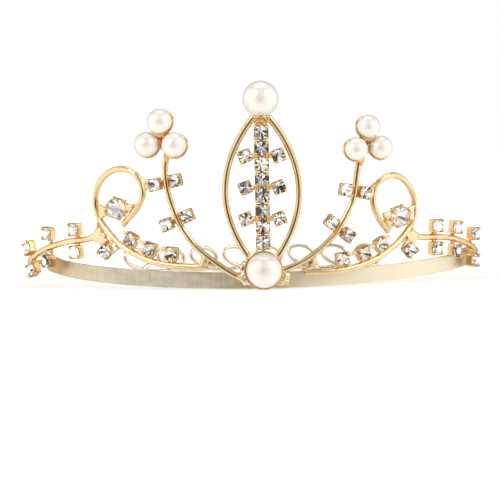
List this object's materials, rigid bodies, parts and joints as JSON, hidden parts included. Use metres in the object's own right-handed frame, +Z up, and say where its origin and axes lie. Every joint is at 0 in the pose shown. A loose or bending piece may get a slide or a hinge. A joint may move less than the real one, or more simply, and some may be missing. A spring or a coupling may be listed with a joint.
{
  "type": "bridal tiara",
  "caption": "Gold-tone wire tiara with set stones and pearls on a flat half-round band, closed at the back by a looped wire.",
  "frame": {"origin": "middle of the band's flat lower edge at the front, where the tiara stands", "axes": "+X to the viewer's right along the tiara's width, +Y from the front of the tiara to the back of the head, +Z up"},
  "size_m": [0.1341, 0.1266, 0.0579],
  "materials": {
    "polished_gold": "polished light gold plate",
    "satin_gold": "satin pale gold plate with fine lengthwise brushing",
    "crystal": "clear cut glass with a foiled back",
    "pearl": "cream white simulated pearl with a soft sheen"
  },
  "bodies": {
    "root": {"band_strip": "satin_gold", "bottom_pearl": "pearl", "bottom_pearl_cup": "polished_gold", "centre_cup_column": "polished_gold", "column_stone_1": "crystal", "column_stone_2": "crystal", "column_stone_3": "crystal", "column_stone_4": "crystal", "column_stone_5": "crystal", "column_stone_6": "crystal", "column_stone_7": "crystal", "column_stone_8": "crystal", "left_big_stone": "crystal", "left_branch_pair_1": "polished_gold", "left_branch_pair_2": "polished_gold", "left_branch_pair_3": "polished_gold", "left_branch_wire": "polished_gold", "left_chain_trio": "polished_gold", "left_claw_setting": "polished_gold", "left_cluster_cups": "polished_gold", "left_foot_setting": "polished_gold", "left_pearl_inner": "pearl", "left_pearl_outer": "pearl", "left_pearl_top": "pearl", "left_scroll_wire": "polished_gold", "left_stem_mid_pair": "polished_gold", "left_stem_top_pair": "polished_gold", "left_stem_wire": "polished_gold", "marquise_left_wire": "polished_gold", "marquise_right_wire": "polished_gold", "rear_loop_wire": "polished_gold", "right_big_stone": "crystal", "right_branch_pair_1": "polished_gold", "right_branch_pair_2": "polished_gold", "right_branch_pair_3": "polished_gold", "right_branch_wire": "polished_gold", "right_chain_trio": "polished_gold", "right_claw_setting": "polished_gold", "right_cluster_cups": "polished_gold", "right_foot_setting": "polished_gold", "right_pearl_inner": "pearl", "right_pearl_outer": "pearl", "right_pearl_top": "pearl", "right_scroll_wire": "polished_gold", "right_stem_mid_pair": "polished_gold", "right_stem_top_pair": "polished_gold", "right_stem_wire": "polished_gold", "side_setting_left_1": "polished_gold", "side_setting_left_2": "polished_gold", "side_setting_left_3": "polished_gold", "side_setting_right_1": "polished_gold", "side_setting_right_2": "polished_gold", "side_setting_right_3": "polished_gold", "top_pearl": "pearl", "top_pearl_cap": "polished_gold"}
  },
  "joints": []
}
